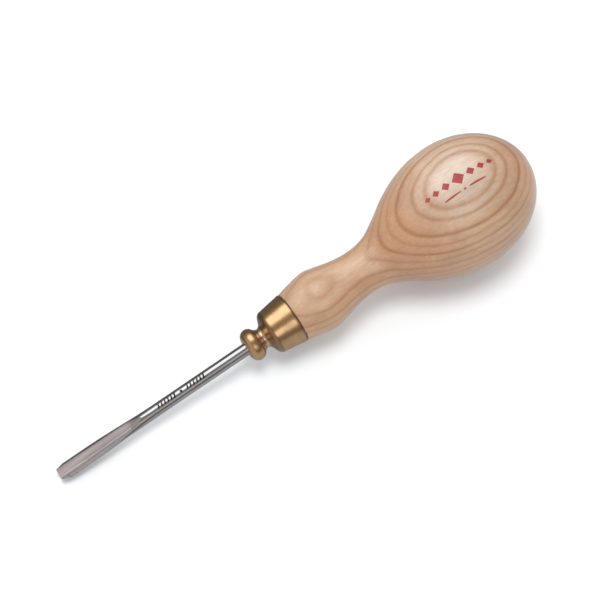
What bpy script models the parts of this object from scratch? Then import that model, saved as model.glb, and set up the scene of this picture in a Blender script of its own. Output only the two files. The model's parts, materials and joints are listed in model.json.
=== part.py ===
"""V parting tool: a palm-grip woodcarving tool about 175 mm long, in four pieces.

The pieces are a steel blade with a V-shaped flute, a turned brass ferrule, a turned ash handle, and the
adhesive that holds the blade's tang inside the handle. The tool lies at rest on a bench at z = 0, on the
belly of its handle and the keel of its V, with the flute facing up. World +X runs from the cutting edge
towards the butt, and the origin is on the bench under the middle of the tool.

Every piece is modelled about the tool's own axis, in a local frame: local +Z runs from the cutting edge, at
z = 0, to the butt, and local +X points down, to the keel. An empty tips that frame into its resting place.
"""

import math

import bmesh
import bpy

MM = 0.001

# Lengths along the tool's axis, from the cutting edge
LENGTH = 175.6 * MM
NECK_Z = 75.9 * MM
RIM_Z = 87.3 * MM
BULB_Z = 150.2 * MM

# Blade: a round bar whose front end is forged into a V and ground
SHANK_RADIUS = 2.0 * MM
WING_HALF_ANGLE = math.radians(32.0)
WING_LENGTH = 3.5 * MM
WING_THICKNESS = 1.0 * MM
EDGE_THICKNESS = 0.06 * MM
BEVEL_LENGTH = 2.65 * MM
TROUGH_DEPTH = 1.85 * MM
TROUGH_RADIUS = 0.25 * MM
KEEL_RADIUS = 0.8 * MM
FORGED_START_Z = 12.0 * MM
FORGED_END_Z = 36.0 * MM
TANG_END_Z = 118.0 * MM
TANG_CHAMFER = 0.5 * MM

# Ferrule
BEAD_CENTRE_Z = 72.4 * MM
BEAD_HALF_LENGTH = 2.5 * MM
BEAD_ROOT_RADIUS = 2.85 * MM
BEAD_HEIGHT = 2.5 * MM
BEAD_FRONT_ANGLE = -80.0
BEAD_BACK_ANGLE = 66.0
NECK_RADIUS = 3.28 * MM
RIM_RADIUS = 8.4 * MM
RIM_CHAMFER = 0.15 * MM
CUP_FLOOR_Z = 81.0 * MM
CUP_RADIUS = 6.4 * MM

# Handle
BULB_RADIUS = 20.7 * MM
TENON_CHAMFER = 0.5 * MM
GLUE_THICKNESS = 0.5 * MM

# Clearances
JOINT_GAP = 0.3 * MM
FIT_GAP = 0.1 * MM

# Roundness of the turned pieces. A flat of each turned piece faces the bench, not a corner.
TURNED_STEPS = 48
SECTION_POINTS = 20


def clear_scene():
    for item in list(bpy.data.objects):
        bpy.data.objects.remove(item, do_unlink=True)


def new_collection(name):
    collection = bpy.data.collections.new(name)
    bpy.context.scene.collection.children.link(collection)
    return collection


def new_material(name, colour, roughness, metallic):
    material = bpy.data.materials.new(name)
    material.use_nodes = True
    shader = material.node_tree.nodes["Principled BSDF"]
    shader.inputs["Base Color"].default_value = (*colour, 1.0)
    shader.inputs["Roughness"].default_value = roughness
    shader.inputs["Metallic"].default_value = metallic
    return material


def new_object(name, bm, collection, axis):
    mesh = bpy.data.meshes.new(name)
    bm.to_mesh(mesh)
    bm.free()
    item = bpy.data.objects.new(name, mesh)
    collection.objects.link(item)
    item.parent = axis
    return item


def smoothstep(value):
    value = min(max(value, 0.0), 1.0)
    return value * value * (3.0 - 2.0 * value)


def curve_through(points, steps):
    """A smooth curve through the points, as a Catmull-Rom spline with this many steps between two of them."""
    first = [2 * a - b for a, b in zip(points[0], points[1])]
    last = [2 * a - b for a, b in zip(points[-1], points[-2])]
    ends = [first, *points, last]
    curve = []
    for before, start, stop, after in zip(ends, ends[1:], ends[2:], ends[3:]):
        for step in range(steps):
            t = step / steps
            curve.append(
                tuple(
                    0.5 * (2 * p1 + (p2 - p0) * t + (2 * p0 - 5 * p1 + 4 * p2 - p3) * t**2
                           + (3 * p1 - p0 - 3 * p2 + p3) * t**3)
                    for p0, p1, p2, p3 in zip(before, start, stop, after)
                )
            )
    return [*curve, tuple(points[-1])]


def ellipse_arc(radius, z, half_height, half_length, start, stop, steps):
    """Profile points (radius, z) on an ellipse. An angle of 0 is its outermost point, 90 its far end."""
    angles = [math.radians(start + (stop - start) * i / steps) for i in range(steps + 1)]
    return [(radius + half_height * math.cos(a), z + half_length * math.sin(a)) for a in angles]


def turned(name, profile, closed, collection, axis, material):
    """A lathe-turned piece. Its profile is (radius, z), down the outer side first."""
    bm = bmesh.new()
    points = [bm.verts.new((radius, 0.0, z)) for radius, z in profile]
    for start, stop in zip(points, points[1:]):
        bm.edges.new((start, stop))
    if closed:
        bm.edges.new((points[-1], points[0]))
    item = new_object(name, bm, collection, axis)
    item.rotation_euler.z = math.pi / TURNED_STEPS
    screw = item.modifiers.new("turn", "SCREW")
    screw.steps = TURNED_STEPS
    screw.render_steps = TURNED_STEPS
    screw.use_merge_vertices = True
    screw.merge_threshold = 0.001 * MM
    screw.use_smooth_shade = True
    item.data.materials.append(material)
    return item


def loft(name, rings, collection, axis):
    """A closed body through rings of points. All rings have the same number of points."""
    bm = bmesh.new()
    loops = [[bm.verts.new(point) for point in ring] for ring in rings]
    for here, there in zip(loops, loops[1:]):
        for i in range(len(here)):
            j = (i + 1) % len(here)
            bm.faces.new((here[i], here[j], there[j], there[i]))
    bm.faces.new(loops[0])
    bm.faces.new(loops[-1])
    bmesh.ops.recalc_face_normals(bm, faces=bm.faces)
    return new_object(name, bm, collection, axis)


def handle_outline():
    """The handle's outer side from the butt to the ferrule: dome, palm bulb, waist and collar."""
    dome = ellipse_arc(0.0, BULB_Z, BULB_RADIUS, LENGTH - BULB_Z, 90.0, 0.0, 14)
    shaped = [
        (20.70, 150.2),
        (20.15, 143.9),
        (18.45, 137.7),
        (15.65, 131.5),
        (11.75, 125.3),
        (8.90, 120.3),
        (7.75, 116.4),
        (7.45, 112.6),
        (7.60, 109.5),
        (8.25, 105.6),
        (9.50, 100.6),
        (10.10, 96.8),
        (9.15, 91.0),
        (8.33, RIM_Z / MM + JOINT_GAP / MM),
    ]
    dome[0] = (0.0, LENGTH)
    return dome[:-1] + curve_through([(radius * MM, z * MM) for radius, z in shaped], 4)


def handle_profile():
    tenon_radius = CUP_RADIUS - FIT_GAP
    tenon_z = CUP_FLOOR_Z + JOINT_GAP
    bore_radius = SHANK_RADIUS + 2 * FIT_GAP + GLUE_THICKNESS
    bore_end = TANG_END_Z + 2 * FIT_GAP + 2 * GLUE_THICKNESS
    return [
        *handle_outline(),
        (tenon_radius, RIM_Z + JOINT_GAP),
        (tenon_radius, tenon_z + TENON_CHAMFER),
        (tenon_radius - TENON_CHAMFER, tenon_z),
        (bore_radius, tenon_z),
        (bore_radius, bore_end),
        (0.0, bore_end),
    ]


def ferrule_profile():
    bore_radius = SHANK_RADIUS + FIT_GAP
    bell = [(7.32, 79.9), (7.05, 78.95), (6.35, 78.15), (5.08, 77.55), (3.88, 76.95)]
    bell = [(radius * MM, z * MM) for radius, z in bell]
    bead = ellipse_arc(
        BEAD_ROOT_RADIUS, BEAD_CENTRE_Z, BEAD_HEIGHT, BEAD_HALF_LENGTH, BEAD_BACK_ANGLE, BEAD_FRONT_ANGLE, 14
    )
    nose_z = bead[-1][1]
    return [
        (RIM_RADIUS - RIM_CHAMFER, RIM_Z),
        (RIM_RADIUS, RIM_Z - RIM_CHAMFER),
        *curve_through([*bell, (NECK_RADIUS, NECK_Z), *bead[:1]], 3),
        *bead[1:],
        (bore_radius, nose_z),
        (bore_radius, CUP_FLOOR_Z),
        (CUP_RADIUS, CUP_FLOOR_Z),
        (CUP_RADIUS, RIM_Z),
    ]


def glue_profile():
    outer = SHANK_RADIUS + FIT_GAP + GLUE_THICKNESS
    inner = SHANK_RADIUS + FIT_GAP
    front = CUP_FLOOR_Z + JOINT_GAP
    inner_end = TANG_END_Z + FIT_GAP
    outer_end = inner_end + 2 * GLUE_THICKNESS
    return [(0.0, outer_end), (outer, outer_end), (outer, front), (inner, front), (inner, inner_end),
            (0.0, inner_end)]


def v_outside(thickness):
    """Half of the V's outside, as (down, sideways) points from the keel up round a wing to the ridge.

    The ridge stands over the flute. The flute's cutter takes it away and leaves the wing's top face square
    to the wing.
    """
    sin, cos = math.sin(WING_HALF_ANGLE), math.cos(WING_HALF_ANGLE)
    keel_radius = TROUGH_RADIUS + (KEEL_RADIUS - TROUGH_RADIUS) * thickness / WING_THICKNESS
    arc_centre = TROUGH_DEPTH + (thickness - keel_radius) / sin
    arc_stop = math.pi / 2 - WING_HALF_ANGLE
    arc = [
        (arc_centre + keel_radius * math.cos(arc_stop * i / 4), keel_radius * math.sin(arc_stop * i / 4))
        for i in range(5)
    ]
    corner = (
        TROUGH_DEPTH - WING_LENGTH * cos + thickness * sin,
        WING_LENGTH * sin + thickness * cos,
    )
    ridge = (corner[0] - corner[1] * sin / cos, 0.0)
    outline = arc
    for stop, steps in ((corner, 8), (ridge, 8)):
        start = outline[-1]
        outline = outline + [
            tuple(a + (b - a) * i / steps for a, b in zip(start, stop)) for i in range(1, steps + 1)
        ]
    return outline


def blade_ring(z):
    """The blade's outside at z: a V near the edge, turning by degrees into the round shank."""
    grind = min(z / BEVEL_LENGTH, 1.0)
    roundness = smoothstep((z - FORGED_START_Z) / (FORGED_END_Z - FORGED_START_Z))
    half = []
    for i, (down, sideways) in enumerate(
        v_outside(EDGE_THICKNESS + (WING_THICKNESS - EDGE_THICKNESS) * grind)
    ):
        angle = math.atan2(sideways, down) * (1 - roundness) + math.pi * i / SECTION_POINTS * roundness
        radius = math.hypot(down, sideways) * (1 - roundness) + SHANK_RADIUS * roundness
        half.append((radius * math.cos(angle), radius * math.sin(angle), z))
    return half + [(x, -y, z) for x, y, z in reversed(half[1:-1])]


def round_ring(z, radius):
    angles = [math.pi * i / SECTION_POINTS for i in range(2 * SECTION_POINTS)]
    return [(radius * math.cos(a), radius * math.sin(a), z) for a in angles]


def flute_ring(z, depth):
    """The flute's cutter at z: a V that opens upwards, with a small round at the trough."""
    centre = depth - TROUGH_RADIUS / math.sin(WING_HALF_ANGLE)
    reach = math.pi / 2 - WING_HALF_ANGLE
    top = -4 * SHANK_RADIUS
    width = (depth - top) * math.tan(WING_HALF_ANGLE)
    arc = [reach * i / 3 for i in range(-3, 4)]
    trough = [(centre + TROUGH_RADIUS * math.cos(a), TROUGH_RADIUS * math.sin(a), z) for a in arc]
    return [(top, -width, z), *trough, (top, width, z)]


def make_blade(collection, cutters, axis, material):
    bevel = [BEVEL_LENGTH * i / 3 for i in range(3)]
    wings = [BEVEL_LENGTH + (FORGED_START_Z - BEVEL_LENGTH) * i / 3 for i in range(3)]
    forged = [FORGED_START_Z + (FORGED_END_Z - FORGED_START_Z) * i / 14 for i in range(15)]
    rings = [blade_ring(z) for z in bevel + wings + forged]
    rings.append(round_ring(TANG_END_Z - TANG_CHAMFER, SHANK_RADIUS))
    rings.append(round_ring(TANG_END_Z, SHANK_RADIUS - TANG_CHAMFER))
    blade = loft("blade", rings, collection, axis)

    trough = [(-3.0, 1.85), (8.0, 1.85), (17.0, 1.50), (25.5, 1.05), (28.2, 0.0), (31.4, -2.0), (34.0, -4.0)]
    path = curve_through([(z * MM, depth * MM) for z, depth in trough], 4)
    cutter = loft("flute_cutter", [flute_ring(z, depth) for z, depth in path], cutters, axis)
    cutter.hide_render = True
    cutter.display_type = "WIRE"

    flute = blade.modifiers.new("flute", "BOOLEAN")
    flute.operation = "DIFFERENCE"
    flute.solver = "EXACT"
    flute.object = cutter
    blade.data.shade_smooth()
    blade.data.set_sharp_from_angle(angle=math.radians(30.0))
    blade.data.materials.append(material)


def tool_axis():
    """The empty that carries the tool, tipped so that the keel and the handle's belly touch the bench."""
    heel_down = max(down for down, sideways in v_outside(WING_THICKNESS))
    flat = math.cos(math.pi / TURNED_STEPS)
    tilt = max(
        math.atan2(radius * flat - heel_down, z - BEVEL_LENGTH)
        for radius, z in handle_outline()
    )
    far_x = max(z * math.cos(tilt) + radius * math.sin(tilt) for radius, z in handle_outline())
    axis = bpy.data.objects.new("tool_axis", None)
    axis.rotation_euler.y = math.pi / 2 - tilt
    axis.location.x = -far_x / 2
    axis.location.z = heel_down * math.cos(tilt) - BEVEL_LENGTH * math.sin(tilt)
    return axis


def main():
    clear_scene()
    tool = new_collection("v_parting_tool")
    cutters = new_collection("cutters")
    axis = tool_axis()
    tool.objects.link(axis)

    steel = new_material("steel", (0.56, 0.55, 0.54), 0.22, 1.0)
    brass = new_material("brass", (0.78, 0.57, 0.28), 0.25, 1.0)
    ash = new_material("ash", (0.80, 0.60, 0.42), 0.35, 0.0)
    epoxy = new_material("epoxy", (0.70, 0.62, 0.40), 0.30, 0.0)

    make_blade(tool, cutters, axis, steel)
    turned("ferrule", ferrule_profile(), True, tool, axis, brass)
    turned("handle", handle_profile(), False, tool, axis, ash)
    turned("tang_epoxy", glue_profile(), False, tool, axis, epoxy)


main()
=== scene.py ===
"""The looks of the V parting tool: lacquered ash, turned brass and ground steel on a pale studio table.

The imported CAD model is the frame. Its handle, ferrule and blade are replaced by finer meshes of the same
shape and size, and the adhesive keeps its CAD mesh with a better material. Lengths are in metres, but the
lists of profile points, the growth rings and the materials' textures count in millimetres.

The new pieces are modelled in the tool's own frame: +Z runs along the tool from the cutting edge to the
butt, +X points down, to the keel, and +Y points across. `tool_frame` finds that frame from the CAD model.
"""

import json
import math

import bmesh
import bpy
import numpy as np
from mathutils import Matrix, Vector


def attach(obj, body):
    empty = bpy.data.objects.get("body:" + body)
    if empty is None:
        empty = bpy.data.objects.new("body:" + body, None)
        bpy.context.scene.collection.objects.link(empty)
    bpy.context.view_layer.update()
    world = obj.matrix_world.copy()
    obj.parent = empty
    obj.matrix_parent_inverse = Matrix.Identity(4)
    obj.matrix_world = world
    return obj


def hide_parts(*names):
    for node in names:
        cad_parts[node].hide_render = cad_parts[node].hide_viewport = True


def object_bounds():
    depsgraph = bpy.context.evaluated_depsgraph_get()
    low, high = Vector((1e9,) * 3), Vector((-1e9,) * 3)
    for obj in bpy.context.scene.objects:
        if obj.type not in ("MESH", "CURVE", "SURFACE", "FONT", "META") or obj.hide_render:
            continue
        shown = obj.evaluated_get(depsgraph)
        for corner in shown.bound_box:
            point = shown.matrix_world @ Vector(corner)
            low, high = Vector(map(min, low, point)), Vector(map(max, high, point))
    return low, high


MM = 0.001

# Blade. A wing's corner is rounded by at most CORNER_SHARE of its thickness. The trough's path is (z, depth
# below the tool's axis).
SHANK_RADIUS = 2.0 * MM
WING_HALF_ANGLE = math.radians(32.0)
WING_LENGTH = 3.5 * MM
WING_THICKNESS = 1.0 * MM
EDGE_THICKNESS = 0.06 * MM
BEVEL_LENGTH = 2.65 * MM
TROUGH_DEPTH = 1.85 * MM
TROUGH_RADIUS = 0.40 * MM
KEEL_RADIUS = 0.8 * MM
CORNER_RADIUS = 0.2 * MM
CORNER_SHARE = 0.4
FORGED_START_Z = 12.0 * MM
FORGED_END_Z = 36.0 * MM
TANG_END_Z = 118.0 * MM
TANG_CHAMFER = 0.5 * MM
TROUGH_PATH = [
    (-3.0, 1.85), (8.0, 1.85), (17.0, 1.50), (25.5, 1.05), (28.2, 0.0), (31.4, -2.0), (34.0, -4.0),
]
FLUTE_CUTTER_TOP = -4 * SHANK_RADIUS

# Stamped pattern on the shank: two groups of slanted strokes with a dot between
STAMP_MIDDLE_Z = 45.6 * MM
STROKE_PITCH = 1.2 * MM
FIRST_STROKE = 2
LAST_STROKE = 7
STROKE_SIZE = (0.6 * MM, 1.9 * MM, 0.50 * MM)
STROKE_SLANT = math.radians(20.0)
STROKE_FLOOR_RADIUS = 1.84 * MM
DOT_RADIUS = 0.45 * MM
DOT_RISE = 0.3 * MM

# Ferrule. The neck and the bell are (radius, z). The bead's arc is in degrees from its outermost point.
BEAD_CENTRE_Z = 72.4 * MM
BEAD_HALF_LENGTH = 2.5 * MM
BEAD_ROOT_RADIUS = 2.85 * MM
BEAD_HEIGHT = 2.5 * MM
BEAD_ARC = (66.0, -80.0)
NECK = (3.28, 75.9)
BELL = [(7.32, 79.9), (7.05, 78.95), (6.35, 78.15), (5.08, 77.55), (3.88, 76.95)]
RIM_Z = 87.3 * MM
RIM_RADIUS = 8.4 * MM
RIM_ROUND = 0.2 * MM
CUP_FLOOR_Z = 81.0 * MM
CUP_RADIUS = 6.4 * MM
FIT_GAP = 0.1 * MM

# Handle. Its shape is (radius, z), and the shoulder's chamfer is what it takes inwards and along.
LENGTH = 175.6 * MM
BULB_Z = 150.2 * MM
BULB_RADIUS = 20.7 * MM
HANDLE_SHAPE = [
    (20.70, 150.2), (20.15, 143.9), (18.45, 137.7), (15.65, 131.5), (11.75, 125.3), (8.90, 120.3),
    (7.75, 116.4), (7.45, 112.6), (7.60, 109.5), (8.25, 105.6), (9.50, 100.6), (10.10, 96.8), (9.15, 91.0),
    (8.33, 87.6),
]
SHOULDER_Z = 87.6 * MM
SHOULDER_CHAMFER = (0.1 * MM, 0.08 * MM)
TENON_RADIUS = 6.3 * MM
TENON_Z = 81.3 * MM
TENON_CHAMFER = 0.5 * MM
BORE_RADIUS = 2.7 * MM
BORE_END_Z = 119.2 * MM

# Print on the bulb. Lozenges and rules are (half length, half width), places are along and across the tool.
PRINT_Z = 151.7 * MM
PRINT_LIFT = 0.02 * MM
PRINT_DEPTH = 0.10 * MM
PRINT_THINNEST = 0.01 * MM
MIDDLE_LOZENGE = (2.3 * MM, 2.2 * MM)
SIDE_LOZENGES = [
    (4.6 * MM, (1.5 * MM, 1.4 * MM)),
    (8.3 * MM, (1.3 * MM, 1.15 * MM)),
    (11.4 * MM, (1.05 * MM, 0.9 * MM)),
]
RULE_PLACE = (4.6 * MM, -4.0 * MM)
RULE_SIZE = (3.0 * MM, 0.32 * MM)
RULE_TIP = 0.35
RULE_DOT = (0.5 * MM, 0.4 * MM)

# How finely the meshes are divided
TURNED_STEPS = 192
DOME_STEPS = 40
HANDLE_STEPS = 8
BEAD_STEPS = 40
BELL_STEPS = 10
CUP_SIDE_STEPS = 8
RIM_STEPS = 6
KEEL_STEPS = 14
CORNER_STEPS = 6
WING_STEPS = 22
TROUGH_STEPS = 12
TROUGH_PATH_STEPS = 8
BEVEL_STEPS = 6
STRAIGHT_STEPS = 8
FORGED_STEPS = 48
PRINT_STEPS = 24
PRINT_COLUMNS = 4
SHARP_ANGLE = 30.0
BLADE_SHARP_ANGLE = 25.0
PRINT_SHARP_ANGLE = 60.0

# Growth rings of the ash, from the top: height at the middle of the bulb, and how dark each is. Below these
# they are evenly spaced. They rise towards the butt and at both sides of the tool.
RINGS = [
    (43.5, 0.0), (38.9, 0.80), (37.0, 0.75), (33.5, 1.0), (30.8, 0.5), (28.1, 0.85), (25.6, 0.5),
    (22.8, 0.65), (19.8, 0.65),
]
RING_SPACING = 2.5
LOWEST_RING = -3.0
RING_MIDDLE_X = 60.0
RING_SLOPE = 0.0345
RING_ROLL = 0.010
RING_ARCH = 0.0087
RING_DRIFT = 1.0
RING_WAVER = 0.6

# The soft dark band of early wood, through one ring: (share of the ring, darkness)
EARLY_WOOD = [
    (0.0, 1.0), (0.07, 0.84), (0.15, 0.45), (0.24, 0.18), (0.40, 0.03), (0.60, 0.0), (0.76, 0.08),
    (0.86, 0.36), (0.94, 0.84), (1.0, 1.0),
]
EARLY_WOOD_SHADE = (0.74, 0.555, 0.38)

# Noises of the ash: scale along the grain, scale across it, detail and roughness
DRIFT = (0.020, 0.040, 1.0, 0.5)
WAVER = (0.10, 0.25, 3.0, 0.5)
PATCHES = (0.05, 0.10, 2.0, 0.5)
PORES = (0.35, 4.5, 2.0, 0.6)
FIBRES = (0.05, 1.6, 4.0, 0.65)
MOTTLE = (0.06, 0.12, 3.0, 0.55)
FLECKS = (0.45, 1.1, 2.0, 0.6)

# Colours of the ash. It is tan low in the rings and brown in a belt of them, both by share of all the rings,
# and brown where its surface slopes across the grain. The tints multiply that, each by its own noise.
PALE_ASH = (0.63, 0.485, 0.375)
TAN_ASH = (0.58, 0.365, 0.222)
BROWN_ASH = (0.52, 0.26, 0.12)
TAN_SHARE = [(0.80, 1.0), (0.93, 0.0)]
BELT_SHARE = [(0.38, 0.0), (0.46, 1.0), (0.54, 1.0), (0.60, 0.0)]
BELT_BROWN = 0.45
SLOPE_SHARE = [(0.12, 0.0), (0.55, 1.0)]
SLOPE_BROWN = 0.85
BUTT_BROWN = 0.6
# Painted light: the ash is made paler towards the far side of the tool, by this much per mm across it
PAINTED_FAR_SIDE_LIGHT = 0.009
MOTTLE_AND_SIDE_LIGHT_TINT = [(0.30, (0.90, 0.86, 0.82)), (0.72, (1.09, 1.10, 1.11))]
FLECK_TINT = [(0.30, (0.95, 0.93, 0.89)), (0.70, (1.04, 1.05, 1.07))]
FIBRE_TINT = [(0.25, 0.86), (0.75, 1.08)]
PORE_SHARE = [(0.54, 0.0), (0.66, 1.0)]
PORE_BROWN = (0.26, 0.14, 0.07)
PORE_STRENGTH = 0.5

# Brass. Tarnish with painted shade, and the painted highlight on the neck, are (z, how much), and lie within
# the range of z before them.
BRIGHT_BRASS = (0.80, 0.465, 0.19)
TONED_BRASS = (0.52, 0.275, 0.11)
TARNISHED_AND_SHADED_BRASS = (0.34, 0.175, 0.06)
# Painted highlight: the paler brass on the neck, where its gloss shines
PAINTED_HIGHLIGHT_BRASS = (0.88, 0.63, 0.42)
TONE_SHARE = [(0.38, 0.0), (0.68, 1.0)]
TONE_STRENGTH = 0.45
NECK_RANGE = (73.0, 80.0)
NECK_TARNISH_AND_SHADE = [
    (73.84, 0.0), (74.19, 0.5), (74.68, 0.0), (76.36, 0.0), (76.85, 0.85), (79.16, 0.85), (79.615, 0.0),
]
NECK_PAINTED_HIGHLIGHT = [(74.26, 0.0), (74.96, 1.0), (76.22, 1.0), (76.71, 0.0)]
RIM_RANGE = (86.5, 87.5)
RIM_TARNISH_AND_SHADE = [(86.6, 0.0), (87.0, 0.7)]

# Steel of the shank, the flute, the stamped strokes and the honed edge, in the order of the blade's slots:
# name, colour, roughness, scales of its fine lines down, across and along the tool, and their depth
STEELS = [
    ("drawn_steel", (0.66, 0.635, 0.63), 0.20, (9.0, 9.0, 0.06), 0.004 * MM),
    ("ground_steel", (0.77, 0.715, 0.70), 0.46, (16.0, 16.0, 0.12), 0.012 * MM),
    ("stamped_steel", (0.05, 0.042, 0.04), 0.50, (4.0, 4.0, 4.0), 0.006 * MM),
    ("honed_steel", (0.66, 0.64, 0.63), 0.16, (1.0, 1.0, 16.0), 0.004 * MM),
]
HONED_SLOT = 3
CLOUD_TINT = [(0.3, 0.80), (0.7, 1.06)]
RED_INK = (0.43, 0.045, 0.045)
AMBER_EPOXY = (0.70, 0.60, 0.36)

# Camera. It looks at a point beside the tool's axis, this far from the cutting edge and from the axis.
CAMERA_AZIMUTH = -34.1
CAMERA_ELEVATION = 65.8
CAMERA_LENS = 600.0
SENSOR_WIDTH = 36.0
CLIP_START = 0.01
FRAME_WIDTH = 185.6 * MM
LOOK_AT_Z = 92.3 * MM
LOOK_AT_SIDE = 3.27 * MM

# Floor. It has a painted reflection: the metal sees it as grey on the near side of the tool and dark beyond
# it: (y, grey).
FLOOR_SIZE = 6.0
FLOOR_CELLS = 8
FLOOR_Z = -0.05 * MM
FLOOR_WHITE = (0.93, 0.938, 0.942)
FLOOR_REFLECTION_RANGE = (-20.0 * MM, 20.0 * MM)
FLOOR_REFLECTION_GREYS = [(7.2 * MM, 0.35), (18.0 * MM, 0.10)]

# Sky: the colour at two values of a direction's world Y, Z or X. Only the metal sees the reflected ones.
SKY_RANGE = (-1.0, 1.0)
SKY_NEAR_TO_FAR = [(-1.0, (0.635, 0.65, 0.668)), (1.0, (1.08, 1.11, 1.14))]
SKY_REFLECTED_UP = [(0.0, (0.118, 0.108, 0.096)), (1.0, (0.225, 0.208, 0.188))]
SKY_REFLECTED_LEFT = [(-0.8, (0.46, 0.45, 0.43)), (-0.2, (0.0, 0.0, 0.0))]

# Softboxes: name, how far along world X from the middle of the tool they aim, height angle, size and power.
# Height angles run from 0, level on the near side of the tool, over the top to the far side.
SOFTBOXES = [
    ("key_softbox", 0.0, 120.0, (1.1, 0.78), 4.0),
    ("front_softbox", -0.32, 46.0, (0.36, 0.46), 0.70),
    ("side_softbox", 0.16, 44.0, (0.40, 0.42), 0.27),
]
SOFTBOX_COLOUR = (0.97, 1.0, 1.05)
SOFTBOX_DISTANCE = 0.9
SUN_STRENGTH = 1.3
SUN_ANGLE = math.radians(24.0)
SUN_HEIGHT_ANGLE = 92.0
SUN_DISTANCE = 2.0


# ---------------------------------------------------------------- shapes


def smoothstep(value):
    value = min(max(value, 0.0), 1.0)
    return value * value * (3.0 - 2.0 * value)


def between(start, stop, steps):
    """Evenly spaced points from start, which is left out, to stop, which is not."""
    return [start + (stop - start) * i / steps for i in range(1, steps + 1)]


def curve_through(points, steps):
    """A smooth curve through the points, as a Catmull-Rom spline with this many steps between two of them."""
    points = [np.array(point, float) for point in points]
    ends = [2 * points[0] - points[1], *points, 2 * points[-1] - points[-2]]
    curve = []
    for p0, p1, p2, p3 in zip(ends, ends[1:], ends[2:], ends[3:]):
        for t in np.arange(steps) / steps:
            curve.append(
                0.5 * (2 * p1 + (p2 - p0) * t + (2 * p0 - 5 * p1 + 4 * p2 - p3) * t**2
                       + (3 * p1 - p0 - 3 * p2 + p3) * t**3)
            )
    return [tuple(point) for point in [*curve, points[-1]]]


def ellipse_arc(radius, z, half_height, half_length, start, stop, steps):
    """Profile points (radius, z) on an ellipse. An angle of 0 is its outermost point, 90 its far end."""
    angles = np.radians(np.linspace(start, stop, steps + 1))
    return [(radius + half_height * math.cos(a), z + half_length * math.sin(a)) for a in angles]


def in_metres(points):
    return [(a * MM, b * MM) for a, b in points]


def finished(name, bm, tool, sharp=SHARP_ANGLE):
    """The bmesh as a smooth-shaded object, moved from the tool's own frame into place."""
    mesh = bpy.data.meshes.new(name)
    bm.to_mesh(mesh)
    bm.free()
    mesh.transform(tool)
    mesh.shade_smooth()
    mesh.set_sharp_from_angle(angle=math.radians(sharp))
    item = bpy.data.objects.new(name, mesh)
    bpy.context.scene.collection.objects.link(item)
    return item


def turned(name, profile, tool):
    """A lathe-turned piece from its closed (radius, z) profile. Points on the axis have radius 0."""
    bm = bmesh.new()
    rings = []
    for radius, z in profile:
        if radius == 0.0:
            rings.append([bm.verts.new((0.0, 0.0, z))] * TURNED_STEPS)
        else:
            rings.append([bm.verts.new(point) for point in round_ring(z, radius, TURNED_STEPS)])
    for here, there in zip(rings, rings[1:] + rings[:1]):
        for i in range(TURNED_STEPS):
            j = (i + 1) % TURNED_STEPS
            corners = list(dict.fromkeys((here[i], here[j], there[j], there[i])))
            if len(corners) > 2:
                bm.faces.new(corners)
    bmesh.ops.recalc_face_normals(bm, faces=bm.faces)
    return finished(name, bm, tool)


def loft(rings):
    """A closed bmesh through rings of points. All rings have the same number of points."""
    bm = bmesh.new()
    loops = [[bm.verts.new(point) for point in ring] for ring in rings]
    for here, there in zip(loops, loops[1:]):
        for i in range(len(here)):
            j = (i + 1) % len(here)
            bm.faces.new((here[i], here[j], there[j], there[i]))
    bm.faces.new(loops[0])
    bm.faces.new(loops[-1])
    bmesh.ops.recalc_face_normals(bm, faces=bm.faces)
    return bm


def round_ring(z, radius, count):
    angles = np.arange(count) * 2 * math.pi / count
    return [(radius * math.cos(a), radius * math.sin(a), z) for a in angles]


# ---------------------------------------------------------------- handle and ferrule


def handle_outline():
    """The handle's outer side from the butt to its shoulder."""
    dome = ellipse_arc(0.0, BULB_Z, BULB_RADIUS, LENGTH - BULB_Z, 90.0, 0.0, DOME_STEPS)
    dome[0] = (0.0, LENGTH)
    return dome[:-1] + curve_through(in_metres(HANDLE_SHAPE), HANDLE_STEPS)


def make_handle(tool):
    *outline, (shoulder_radius, _) = handle_outline()
    profile = [
        *outline,
        (shoulder_radius, SHOULDER_Z + SHOULDER_CHAMFER[1]),
        (shoulder_radius - SHOULDER_CHAMFER[0], SHOULDER_Z),
        (TENON_RADIUS, SHOULDER_Z),
        (TENON_RADIUS, TENON_Z + TENON_CHAMFER),
        (TENON_RADIUS - TENON_CHAMFER, TENON_Z),
        (BORE_RADIUS, TENON_Z),
        (BORE_RADIUS, BORE_END_Z),
        (0.0, BORE_END_Z),
    ]
    return turned("ash_handle", profile, tool)


def make_ferrule(tool):
    rim = ellipse_arc(RIM_RADIUS - RIM_ROUND, RIM_Z - RIM_ROUND, RIM_ROUND, RIM_ROUND, 90.0, 0.0, RIM_STEPS)
    bead = ellipse_arc(BEAD_ROOT_RADIUS, BEAD_CENTRE_Z, BEAD_HEIGHT, BEAD_HALF_LENGTH, *BEAD_ARC, BEAD_STEPS)
    bell_and_neck = in_metres([*BELL, NECK])
    cup_side = between(np.array(rim[-1]), np.array(bell_and_neck[0]), CUP_SIDE_STEPS)[:-1]
    # The curve starts at the rim to get its slope, but the cup's side takes the place of its first run
    curve = curve_through([rim[-1], *bell_and_neck, bead[0]], BELL_STEPS)[BELL_STEPS:]
    nose_z = bead[-1][1]
    bore = SHANK_RADIUS + FIT_GAP
    profile = [
        *rim,
        *cup_side,
        *curve,
        *bead[1:],
        (bore + RIM_ROUND, nose_z),
        (bore, nose_z + RIM_ROUND),
        (bore, CUP_FLOOR_Z),
        (CUP_RADIUS, CUP_FLOOR_Z),
        (CUP_RADIUS, RIM_Z),
    ]
    return turned("brass_ferrule", profile, tool)


# ---------------------------------------------------------------- blade


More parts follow.
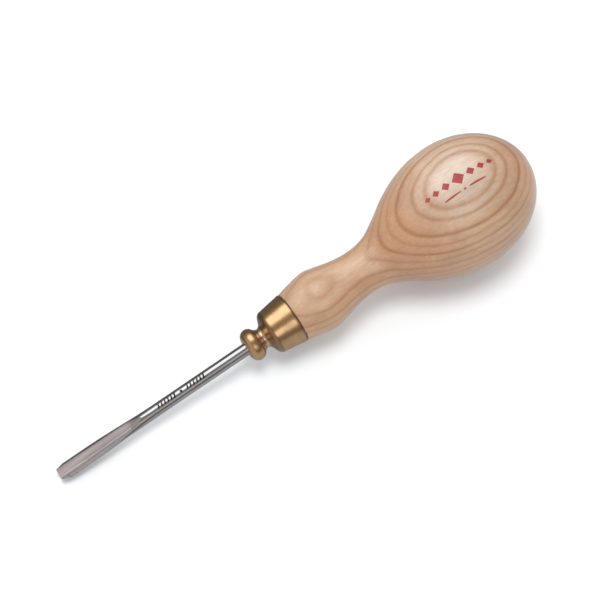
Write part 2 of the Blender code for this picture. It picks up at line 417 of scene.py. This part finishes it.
def v_outside(thickness):
    """Half of the V's outside, as (down, sideways) points from the keel up round a wing to the ridge.

    The ridge stands over the flute. The flute's cutter takes it away and leaves the wing's top face square
    to the wing.
    """
    sin, cos = math.sin(WING_HALF_ANGLE), math.cos(WING_HALF_ANGLE)
    keel_radius = TROUGH_RADIUS + (KEEL_RADIUS - TROUGH_RADIUS) * thickness / WING_THICKNESS
    corner_radius = min(CORNER_RADIUS, CORNER_SHARE * thickness)
    top = np.array((TROUGH_DEPTH - WING_LENGTH * cos, WING_LENGTH * sin))
    outward, upward = np.array((sin, cos)), np.array((-cos, sin))
    keel_centre = np.array((TROUGH_DEPTH + (thickness - keel_radius) / sin, 0.0))
    corner_centre = top + outward * (thickness - corner_radius) - upward * corner_radius
    ridge = np.array((top[0] + thickness * sin - (top[1] + thickness * cos) * sin / cos, 0.0))
    reach = math.pi / 2 - WING_HALF_ANGLE

    def arc(centre, radius, start, stop, steps):
        return [
            centre + radius * np.array((math.cos(a), math.sin(a)))
            for a in np.linspace(start, stop, steps + 1)
        ]

    keel = arc(keel_centre, keel_radius, 0.0, reach, KEEL_STEPS)
    corner = arc(corner_centre, corner_radius, reach, reach + math.pi / 2, CORNER_STEPS)
    wing = between(keel[-1], corner[0], WING_STEPS)[:-1]
    roof = between(corner[-1], ridge, WING_STEPS)
    return [*keel, *wing, *corner, *roof]


def blade_ring(z):
    """The blade's outside at z: a V near the edge, turning by degrees into the round shank."""
    grind = min(z / BEVEL_LENGTH, 1.0)
    roundness = smoothstep((z - FORGED_START_Z) / (FORGED_END_Z - FORGED_START_Z))
    outside = v_outside(EDGE_THICKNESS + (WING_THICKNESS - EDGE_THICKNESS) * grind)
    half = []
    for i, (down, sideways) in enumerate(outside):
        angle = math.atan2(sideways, down) * (1 - roundness) + math.pi * i / (len(outside) - 1) * roundness
        radius = math.hypot(down, sideways) * (1 - roundness) + SHANK_RADIUS * roundness
        half.append((radius * math.cos(angle), radius * math.sin(angle), z))
    return half + [(x, -y, z) for x, y, z in reversed(half[1:-1])]


def flute_ring(z, depth):
    """The flute's cutter at z: a V that opens upwards, with a small round at the trough."""
    centre = depth - TROUGH_RADIUS / math.sin(WING_HALF_ANGLE)
    reach = math.pi / 2 - WING_HALF_ANGLE
    width = (depth - FLUTE_CUTTER_TOP) * math.tan(WING_HALF_ANGLE)
    trough = [
        (centre + TROUGH_RADIUS * math.cos(a), TROUGH_RADIUS * math.sin(a), z)
        for a in np.linspace(-reach, reach, TROUGH_STEPS + 1)
    ]
    return [(FLUTE_CUTTER_TOP, -width, z), *trough, (FLUTE_CUTTER_TOP, width, z)]


def stamp_cutter():
    """Two groups of slanted strokes with a dot between, as blocks that reach down to the strokes' floor."""
    bm = bmesh.new()
    turn = Matrix.Rotation(STROKE_SLANT, 4, "X")
    size = Matrix.Diagonal((*STROKE_SIZE, 1.0))
    strokes = [*range(-LAST_STROKE, -FIRST_STROKE + 1), *range(FIRST_STROKE, LAST_STROKE + 1)]
    for step in strokes:
        place = Matrix.Translation((-STROKE_FLOOR_RADIUS - STROKE_SIZE[0] / 2, 0, step * STROKE_PITCH))
        bmesh.ops.create_cube(bm, size=1.0, matrix=place @ turn @ size)
    dot = Matrix.Translation((-STROKE_FLOOR_RADIUS - DOT_RISE, 0, 0))
    bmesh.ops.create_icosphere(bm, subdivisions=3, radius=DOT_RADIUS, matrix=dot)
    bmesh.ops.translate(bm, verts=bm.verts, vec=(0, 0, STAMP_MIDDLE_Z))
    return bm


def blade_body():
    """The blade as it is before the flute is cut: the honed bevel, the V, the forged part, shank and tang."""
    bevel = np.linspace(0.0, BEVEL_LENGTH, BEVEL_STEPS + 1)[:-1]
    straight = np.linspace(BEVEL_LENGTH, FORGED_START_Z, STRAIGHT_STEPS + 1)[:-1]
    forged = np.linspace(FORGED_START_Z, FORGED_END_Z, FORGED_STEPS + 1)
    rings = [blade_ring(z) for z in (*bevel, *straight, *forged)]
    rings.append(round_ring(TANG_END_Z - TANG_CHAMFER, SHANK_RADIUS, len(rings[0])))
    rings.append(round_ring(TANG_END_Z, SHANK_RADIUS - TANG_CHAMFER, len(rings[0])))
    body = loft(rings)
    for face in body.faces:
        if face.calc_center_median().z < BEVEL_LENGTH:
            face.material_index = HONED_SLOT
    return body


def make_blade(tool, materials):
    """The blade with its flute and stamped strokes cut. The faces that a cutter leaves have its own slot."""
    blade = finished("steel_blade", blade_body(), tool)
    path = curve_through(in_metres(TROUGH_PATH), TROUGH_PATH_STEPS)
    cutters = [
        finished("flute_cutter", loft([flute_ring(z, depth) for z, depth in path]), tool),
        finished("stamp_cutter", stamp_cutter(), tool),
    ]
    for item in (blade, *cutters):
        for material in materials:
            item.data.materials.append(material)
    for slot, cutter in enumerate(cutters, start=1):
        cutter.data.polygons.foreach_set("material_index", [slot] * len(cutter.data.polygons))
        cut = blade.modifiers.new(cutter.name, "BOOLEAN")
        cut.operation = "DIFFERENCE"
        cut.solver = "EXACT"
        cut.object = cutter
    graph = bpy.context.evaluated_depsgraph_get()
    mesh = bpy.data.meshes.new_from_object(blade.evaluated_get(graph))
    blade.modifiers.clear()
    blade.data = mesh
    mesh.shade_smooth()
    mesh.set_sharp_from_angle(angle=math.radians(BLADE_SHARP_ANGLE))
    for cutter in cutters:
        bpy.data.objects.remove(cutter)
    return blade


# ---------------------------------------------------------------- print


def lozenge(u):
    return 1.0 - abs(u)


def taper(u):
    return RULE_TIP + (1.0 - RULE_TIP) * (1.0 - abs(u)) ** 0.5


def bulb_point(z, across, lift, outline):
    """The point on the top of the bulb at z along the tool and this far round it, lifted off the surface."""
    radii, stations = zip(*reversed(outline))
    radius = float(np.interp(z, stations, radii))
    angle = across / radius
    return (-(radius + lift) * math.cos(angle), (radius + lift) * math.sin(angle), z)


def strip(bm, outline, along, across, size, shape):
    """A thin printed shape that follows the bulb. shape gives its half width, 0 to 1, at -1 to 1 along it."""
    half_length, half_width = size
    rows = []
    for u in np.linspace(-1.0, 1.0, PRINT_STEPS + 1):
        z = PRINT_Z + along + u * half_length
        width = max(half_width * shape(u), PRINT_THINNEST)
        columns = [across + v * width for v in np.linspace(-1.0, 1.0, PRINT_COLUMNS + 1)]
        rows.append([
            [bm.verts.new(bulb_point(z, column, lift, outline)) for column in columns]
            for lift in (PRINT_LIFT, -PRINT_DEPTH)
        ])
    for (top, low), (next_top, next_low) in zip(rows, rows[1:]):
        for i in range(PRINT_COLUMNS):
            bm.faces.new((top[i], top[i + 1], next_top[i + 1], next_top[i]))
            bm.faces.new((low[i + 1], low[i], next_low[i], next_low[i + 1]))
        bm.faces.new((top[0], next_top[0], next_low[0], low[0]))
        bm.faces.new((next_top[-1], top[-1], low[-1], next_low[-1]))
    for top, low in (rows[0], rows[-1]):
        for i in range(PRINT_COLUMNS):
            bm.faces.new((top[i + 1], top[i], low[i], low[i + 1]))


def make_print(tool):
    """A plain red ornament printed on the bulb: a row of lozenges over a broken rule with a dot."""
    outline = handle_outline()
    rule_along, rule_across = RULE_PLACE
    bm = bmesh.new()
    strip(bm, outline, 0.0, 0.0, MIDDLE_LOZENGE, lozenge)
    for side in (-1, 1):
        for along, size in SIDE_LOZENGES:
            strip(bm, outline, side * along, 0.0, size, lozenge)
        strip(bm, outline, side * rule_along, rule_across, RULE_SIZE, taper)
    strip(bm, outline, 0.0, rule_across, RULE_DOT, lozenge)
    bmesh.ops.recalc_face_normals(bm, faces=bm.faces)
    return finished("bulb_print", bm, tool, PRINT_SHARP_ANGLE)


# ---------------------------------------------------------------- nodes


# The colour sockets among the many of a Mix node
MIX_A = 6
MIX_B = 7
MIX_RESULT = 2


class Nodes:
    """Short calls for the nodes of one tree. Each returns an output socket. Colours are three numbers."""

    def __init__(self, tree):
        self.tree = tree

    def connect(self, socket, value):
        if isinstance(value, bpy.types.NodeSocket):
            self.tree.links.new(value, socket)
        elif socket.type == "RGBA":
            socket.default_value = (*value, 1.0)
        else:
            socket.default_value = value

    def node(self, kind, values, output=0, **settings):
        node = self.tree.nodes.new(kind)
        for name, value in settings.items():
            setattr(node, name, value)
        for name, value in values.items():
            self.connect(node.inputs[name], value)
        return node.outputs[output]

    def place(self):
        return self.node("ShaderNodeTexCoord", {}, "Object")

    def normal(self):
        return self.node("ShaderNodeTexCoord", {}, "Normal")

    def tool_place(self, tool):
        """The surface's place in the tool's own frame."""
        values = {"Vector": self.place(), "Location": tool.translation, "Rotation": tool.to_euler()}
        return self.node("ShaderNodeMapping", values, vector_type="TEXTURE")

    def axis(self, vector, index):
        return self.node("ShaderNodeSeparateXYZ", {"Vector": vector}, index)

    def scaled(self, vector, x, y, z):
        values = {0: vector, 1: (x, y, z)}
        return self.node("ShaderNodeVectorMath", values, operation="MULTIPLY")

    def in_mm(self, vector):
        return self.scaled(vector, 1.0 / MM, 1.0 / MM, 1.0 / MM)

    def math(self, operation, a, b=0.0, c=0.0, clamp=False):
        return self.node("ShaderNodeMath", {0: a, 1: b, 2: c}, operation=operation, use_clamp=clamp)

    def curve(self, value, points):
        """The value put through a curve of straight runs between the (x, y) points."""
        output = self.node("ShaderNodeFloatCurve", {"Value": value})
        mapping = output.node.mapping
        curve = mapping.curves[0]
        curve.points[0].location = points[0]
        curve.points[-1].location = points[-1]
        for x, y in points[1:-1]:
            curve.points.new(x, y)
        mapping.update()
        return output

    def noise(self, vector, detail, roughness=0.5):
        values = {"Vector": vector, "Scale": 1.0, "Detail": detail, "Roughness": roughness}
        return self.node("ShaderNodeTexNoise", values)

    def grain(self, vector, along, across, detail, roughness):
        """Noise drawn out along the grain, which runs along world X."""
        return self.noise(self.scaled(vector, along, across, across), detail, roughness)

    def ramp(self, factor, stops):
        """A colour ramp. stops are (position, grey or colour)."""
        output = self.node("ShaderNodeValToRGB", {"Fac": factor})
        elements = output.node.color_ramp.elements
        while len(elements) < len(stops):
            elements.new(0.5)
        for element, (position, colour) in zip(elements, stops):
            element.position = position
            element.color = (*colour, 1.0) if isinstance(colour, tuple) else (colour, colour, colour, 1.0)
        return output

    def ramp_over(self, value, reach, stops):
        """A ramp over a value between the two ends of its reach. stops are (value, grey or colour)."""
        start, end = reach
        span = end - start
        share = self.math("MULTIPLY_ADD", value, 1.0 / span, -start / span)
        return self.ramp(share, [((place - start) / span, colour) for place, colour in stops])

    def mix(self, factor, a, b, blend="MIX"):
        values = {"Factor": factor, MIX_A: a, MIX_B: b}
        return self.node("ShaderNodeMix", values, MIX_RESULT, data_type="RGBA", blend_type=blend)

    def tinted(self, colour, factor, stops):
        """The colour multiplied by a ramp."""
        return self.mix(1.0, colour, self.ramp(factor, stops), "MULTIPLY")

    def by_ray(self, plain, reflected):
        """The plain colour, or the reflected one as a glossy surface sees it."""
        glossy = self.node("ShaderNodeLightPath", {}, "Is Glossy Ray")
        return self.mix(glossy, plain, reflected)


class Shader(Nodes):
    """A new Principled material and the nodes of its tree. What it is given first can be linked over."""

    def __init__(self, name, colour, roughness, metallic=0.0):
        self.material = bpy.data.materials.new(name)
        self.material.use_nodes = True
        super().__init__(self.material.node_tree)
        self.bsdf = self.tree.nodes["Principled BSDF"]
        self.give("Base Color", colour)
        self.give("Roughness", roughness)
        self.give("Metallic", metallic)

    def give(self, name, value):
        self.connect(self.bsdf.inputs[name], value)

    def bump(self, height, distance):
        values = {"Height": height, "Distance": distance, "Strength": 1.0}
        self.give("Normal", self.node("ShaderNodeBump", values))


# ---------------------------------------------------------------- materials


def ring_list():
    """The (height, darkness) of every ring, from the lowest up."""
    rings = list(RINGS)
    while rings[-1][0] - RING_SPACING > LOWEST_RING:
        rings.append((rings[-1][0] - RING_SPACING, rings[-1][1]))
    return [(LOWEST_RING, rings[-1][1]), *reversed(rings)]


def growth_layers(shader, place):
    """Each place's height in the growth layers, as a share of all the rings, and how dark its band is.

    The layers slope, arch and wander. A curve turns their height into a count of rings, each of which has a
    band of early wood that is darker in some rings and places than in others.
    """
    x, y, z = (shader.axis(place, index) for index in range(3))
    drift = shader.grain(place, *DRIFT)
    waver = shader.grain(place, *WAVER)
    arch = shader.math("MULTIPLY", shader.math("MULTIPLY", y, y), -RING_ARCH)
    height = shader.math("ADD", z, arch)
    height = shader.math("MULTIPLY_ADD", y, RING_ROLL, height)
    height = shader.math("MULTIPLY_ADD", shader.math("SUBTRACT", x, RING_MIDDLE_X), -RING_SLOPE, height)
    height = shader.math("MULTIPLY_ADD", shader.math("SUBTRACT", drift, 0.5), RING_DRIFT, height)
    height = shader.math("MULTIPLY_ADD", shader.math("SUBTRACT", waver, 0.5), RING_WAVER, height)

    rings = ring_list()
    span = rings[-1][0] - LOWEST_RING
    share = shader.math("DIVIDE", shader.math("SUBTRACT", height, LOWEST_RING), span)
    starts = [(level - LOWEST_RING) / span for level, _ in rings]
    count = shader.curve(share, [(start, i / len(rings)) for i, start in enumerate(starts)])
    phase = shader.math("FRACT", shader.math("MULTIPLY", count, float(len(rings))))
    strength = shader.curve(share, [(start, dark) for start, (_, dark) in zip(starts, rings)])
    patches = shader.math("MULTIPLY_ADD", shader.grain(place, *PATCHES), 0.9, 0.55)
    strength = shader.math("MULTIPLY", strength, patches)
    return share, shader.math("MULTIPLY", shader.ramp(phase, EARLY_WOOD), strength, clamp=True)


def cut_across_grain(shader, tool):
    """How steeply the surface cuts across the grain, 0 to 1. Slopes that face the butt count for less."""
    values = {0: shader.normal(), 1: tuple(tool.col[2].to_3d())}
    slope = shader.node("ShaderNodeVectorMath", values, 1, operation="DOT_PRODUCT")
    facing_edge = shader.math("MULTIPLY", slope, -1.0)
    facing_butt = shader.math("MULTIPLY", slope, BUTT_BROWN)
    return shader.ramp(shader.math("MAXIMUM", facing_edge, facing_butt), SLOPE_SHARE)


def ash_ground(shader, place, tool, share):
    """The wood's colour between its bands: mottled and flecked, and painted lighter towards the far side,
    where more light falls.
    """
    colour = shader.mix(shader.ramp(share, TAN_SHARE), PALE_ASH, TAN_ASH)
    belt = shader.math("MULTIPLY", shader.ramp(share, BELT_SHARE), BELT_BROWN)
    slope = shader.math("MULTIPLY", cut_across_grain(shader, tool), SLOPE_BROWN)
    colour = shader.mix(shader.math("MAXIMUM", slope, belt), colour, BROWN_ASH)
    mottle_and_side_light = shader.grain(place, *MOTTLE)
    # Painted light: the mottle rises towards the far side of the tool, so the wood is paler there
    mottle_and_side_light = shader.math("MULTIPLY_ADD", shader.axis(place, 1), PAINTED_FAR_SIDE_LIGHT, mottle_and_side_light)
    colour = shader.tinted(colour, mottle_and_side_light, MOTTLE_AND_SIDE_LIGHT_TINT)
    return shader.tinted(colour, shader.grain(place, *FLECKS), FLECK_TINT)


def ash_material(tool):
    """Lacquered ash. Growth layers lie nearly level, so they show as ovals on the top of the bulb."""
    shader = Shader("lacquered_ash", (0.6, 0.4, 0.25), 0.42)
    place = shader.in_mm(shader.place())
    share, early = growth_layers(shader, place)

    # Pores run along the grain as fine dashes, mostly in the early wood, and fibres as fine streaks
    pores = shader.ramp(shader.grain(place, *PORES), PORE_SHARE)
    pores = shader.math("MULTIPLY", pores, shader.math("MULTIPLY_ADD", early, 0.8, 0.10))
    fibres = shader.grain(place, *FIBRES)

    colour = ash_ground(shader, place, tool, share)
    band = shader.mix(1.0, colour, EARLY_WOOD_SHADE, "MULTIPLY")
    colour = shader.mix(early, colour, band)
    colour = shader.tinted(colour, fibres, FIBRE_TINT)
    colour = shader.mix(shader.math("MULTIPLY", pores, PORE_STRENGTH), colour, PORE_BROWN)
    shader.give("Base Color", colour)
    shader.give("Roughness", shader.math("MULTIPLY_ADD", fibres, 0.12, 0.38))
    shader.give("Coat Weight", 1.0)
    shader.give("Coat Roughness", 0.32)
    shader.give("Sheen Weight", 0.4)
    shader.give("Sheen Roughness", 0.4)
    shader.bump(shader.math("MULTIPLY_ADD", pores, -1.0, fibres), 0.02 * MM)
    return shader.material


def brass_material(tool):
    """Turned and polished brass, toned brown by handling, with fine turning lines."""
    shader = Shader("ferrule_brass", (0.78, 0.50, 0.24), 0.28, 1.0)
    place = shader.in_mm(shader.tool_place(tool))
    tone = shader.noise(shader.scaled(place, 0.25, 0.25, 0.35), 3.0, 0.6)
    tone = shader.ramp(tone, TONE_SHARE)
    colour = shader.mix(shader.math("MULTIPLY", tone, TONE_STRENGTH), BRIGHT_BRASS, TONED_BRASS)

    # Tarnish and painted shade darken the hollows beside the neck, the front of the bell and the rim, and a
    # painted highlight makes the neck itself paler
    z = shader.axis(place, 2)
    # Painted shade, partly tarnish: darker brass in the hollows beside the neck and at the rim
    hollow_tarnish_and_shade = shader.ramp_over(z, NECK_RANGE, NECK_TARNISH_AND_SHADE)
    rim = shader.ramp_over(z, RIM_RANGE, RIM_TARNISH_AND_SHADE)
    colour = shader.mix(shader.math("MAXIMUM", hollow_tarnish_and_shade, rim), colour, TARNISHED_AND_SHADED_BRASS)
    # Painted highlight: a paler brass where the neck's gloss shines
    neck_highlight = shader.ramp_over(z, NECK_RANGE, NECK_PAINTED_HIGHLIGHT)
    shader.give("Base Color", shader.mix(neck_highlight, colour, PAINTED_HIGHLIGHT_BRASS))
    shader.give("Roughness", shader.math("MULTIPLY_ADD", tone, 0.05, 0.27))
    shader.give("Coat Weight", 1.0)
    shader.give("Coat IOR", 1.8)
    shader.give("Coat Roughness", 0.25)
    lines = shader.noise(shader.scaled(place, 0.15, 0.15, 14.0), 3.0, 0.7)
    shader.bump(lines, 0.006 * MM)
    return shader.material


def steel_material(tool, name, colour, roughness, lines, depth):
    """Steel with fine lines and faint clouds along the tool."""
    shader = Shader(name, colour, roughness, 1.0)
    place = shader.in_mm(shader.tool_place(tool))
    streaks = shader.noise(shader.scaled(place, *lines), 4.0, 0.65)
    cloud = shader.noise(shader.scaled(place, 1.2, 1.2, 0.08), 3.0, 0.6)
    shader.give("Base Color", shader.tinted(colour, cloud, CLOUD_TINT))
    shader.give("Roughness", shader.math("MULTIPLY_ADD", streaks, 0.16, roughness - 0.08))
    shader.bump(streaks, depth)
    return shader.material


def plain_material(name, colour, roughness, scale, depth):
    """A plain finish with a slight unevenness of tone, at this scale per metre."""
    shader = Shader(name, colour, roughness)
    unevenness = shader.noise(shader.scaled(shader.place(), scale, scale, scale), 3.0)
    shader.give("Base Color", shader.tinted(colour, unevenness, [(0.3, 1.0 - depth), (0.7, 1.0)]))
    return shader.material


# ---------------------------------------------------------------- studio


def tool_frame(frame):
    """The tool's own frame as a matrix, read from the CAD model: its axis is square to the nose face."""
    mount = next(m for m in frame["record"]["mounts"] if m["name"] == "nose")
    along = -Vector(mount["axis"]).normalized()
    across = Vector((0.0, 1.0, 0.0))
    down = across.cross(along)

    def reach(node, direction):
        return [vertex.co.dot(direction) for vertex in frame["nodes"][node].data.vertices]

    belly = reach("handle", down)
    origin = along * min(reach("blade", along)) + down * (min(belly) + max(belly)) / 2
    place = Matrix((down, across, along)).transposed().to_4x4()
    place.translation = origin
    return place


def aim(item, target, towards, distance):
    """Put the item at this distance from its target, facing it."""
    item.location = target + towards * distance
    item.rotation_euler = (-towards).to_track_quat("-Z", "Y").to_euler()
    bpy.context.scene.collection.objects.link(item)


def make_camera(tool):
    azimuth, elevation = math.radians(CAMERA_AZIMUTH), math.radians(CAMERA_ELEVATION)
    towards = Vector((
        math.cos(elevation) * math.sin(azimuth),
        -math.cos(elevation) * math.cos(azimuth),
        math.sin(elevation),
    ))
    along = tool.col[2].to_3d()
    side = towards.cross(along).normalized()
    target = tool.translation + along * LOOK_AT_Z + side * LOOK_AT_SIDE
    camera = bpy.data.objects.new("camera", bpy.data.cameras.new("camera"))
    camera.data.lens = CAMERA_LENS
    camera.data.sensor_width = SENSOR_WIDTH
    camera.data.clip_start = CLIP_START
    aim(camera, target, towards, FRAME_WIDTH * CAMERA_LENS / SENSOR_WIDTH)
    bpy.context.scene.camera = camera


def over_tool(height_angle):
    """The direction square to world X at this angle: 0 is level on the near side, 90 straight up."""
    angle = math.radians(height_angle)
    return Vector((0.0, -math.cos(angle), math.sin(angle)))


def make_softbox(target, name, shift, height_angle, size, power):
    """A softbox that only the gloss of the tool shows. The sun and the sky light everything else."""
    data = bpy.data.lights.new(name, "AREA")
    data.shape = "RECTANGLE"
    data.size, data.size_y = size
    data.energy = power
    data.color = SOFTBOX_COLOUR
    softbox = bpy.data.objects.new(name, data)
    softbox.visible_diffuse = False
    aim(softbox, target + Vector((shift, 0.0, 0.0)), over_tool(height_angle), SOFTBOX_DISTANCE)


def make_fill_sun(target):
    """Soft overhead light for the wood and the floor, which the metal doesn't reflect."""
    data = bpy.data.lights.new("fill_sun", "SUN")
    data.energy = SUN_STRENGTH
    data.angle = SUN_ANGLE
    sun = bpy.data.objects.new("fill_sun", data)
    sun.visible_glossy = False
    aim(sun, target, over_tool(SUN_HEIGHT_ANGLE), SUN_DISTANCE)


def make_floor():
    """A plain white floor with a painted reflection: the metal sees it darker, grey on the near side and dark
    beyond.
    """
    bm = bmesh.new()
    bmesh.ops.create_grid(bm, x_segments=FLOOR_CELLS, y_segments=FLOOR_CELLS, size=FLOOR_SIZE)
    floor = finished("floor", bm, Matrix.Translation((0.0, 0.0, FLOOR_Z)))
    shader = Shader("floor_white", FLOOR_WHITE, 0.7)
    shader.give("Specular IOR Level", 0.0)
    # Painted reflection: glossy rays see the floor grey on the near side of the tool and dark beyond it
    painted_floor_reflection = shader.ramp_over(shader.axis(shader.place(), 1), FLOOR_REFLECTION_RANGE, FLOOR_REFLECTION_GREYS)
    shader.give("Base Color", shader.by_ray(FLOOR_WHITE, painted_floor_reflection))
    floor.data.materials.append(shader.material)


def make_world():
    """A soft white sky, brighter on the far side. The metal sees a dim room that is lighter to the left."""
    world = bpy.data.worlds.new("studio")
    world.use_nodes = True
    sky = Nodes(world.node_tree)
    direction = sky.node("ShaderNodeTexCoord", {}, "Generated")
    plain = sky.ramp_over(sky.axis(direction, 1), SKY_RANGE, SKY_NEAR_TO_FAR)
    up = sky.ramp_over(sky.axis(direction, 2), SKY_RANGE, SKY_REFLECTED_UP)
    left = sky.ramp_over(sky.axis(direction, 0), SKY_RANGE, SKY_REFLECTED_LEFT)
    reflected = sky.mix(1.0, up, left, "LIGHTEN")
    background = world.node_tree.nodes["Background"]
    sky.connect(background.inputs["Color"], sky.by_ray(plain, reflected))
    bpy.context.scene.world = world


def make_studio(target):
    make_floor()
    make_world()
    for softbox in SOFTBOXES:
        make_softbox(target, *softbox)
    make_fill_sun(target)
    bpy.context.scene.view_settings.view_transform = "Standard"


# ---------------------------------------------------------------- scene


def add_piece(piece, node, slot, *materials):
    for material in materials:
        piece.data.materials.append(material)
    if node:
        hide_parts(node)
    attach(piece, "root")


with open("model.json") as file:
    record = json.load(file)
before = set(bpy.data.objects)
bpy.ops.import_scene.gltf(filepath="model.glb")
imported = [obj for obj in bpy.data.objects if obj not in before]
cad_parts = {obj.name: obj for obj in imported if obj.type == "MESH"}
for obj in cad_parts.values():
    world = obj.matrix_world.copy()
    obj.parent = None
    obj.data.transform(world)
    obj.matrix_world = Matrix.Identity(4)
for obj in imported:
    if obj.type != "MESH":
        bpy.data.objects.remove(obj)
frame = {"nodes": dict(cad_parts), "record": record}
cad_box = [list(corner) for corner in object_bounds()]
tool = tool_frame(frame)

blade_materials = [steel_material(tool, *steel) for steel in STEELS]
add_piece(make_blade(tool, blade_materials), "blade", "tool_steel")
add_piece(make_ferrule(tool), "ferrule", "ferrule_brass", brass_material(tool))
add_piece(make_handle(tool), "handle", "lacquered_ash", ash_material(tool))
add_piece(make_print(tool), None, "lacquered_ash", plain_material("red_ink", RED_INK, 0.40, 900.0, 0.35))
epoxy = frame["nodes"]["tang_epoxy"]
epoxy.data.materials.clear()
epoxy.data.materials.append(plain_material("cured_epoxy", AMBER_EPOXY, 0.25, 200.0, 0.2))

low, high = (Vector(corner) for corner in cad_box)
make_studio(Vector(((low.x + high.x) / 2, 0.0, (low.z + high.z) / 2)))
make_camera(tool)
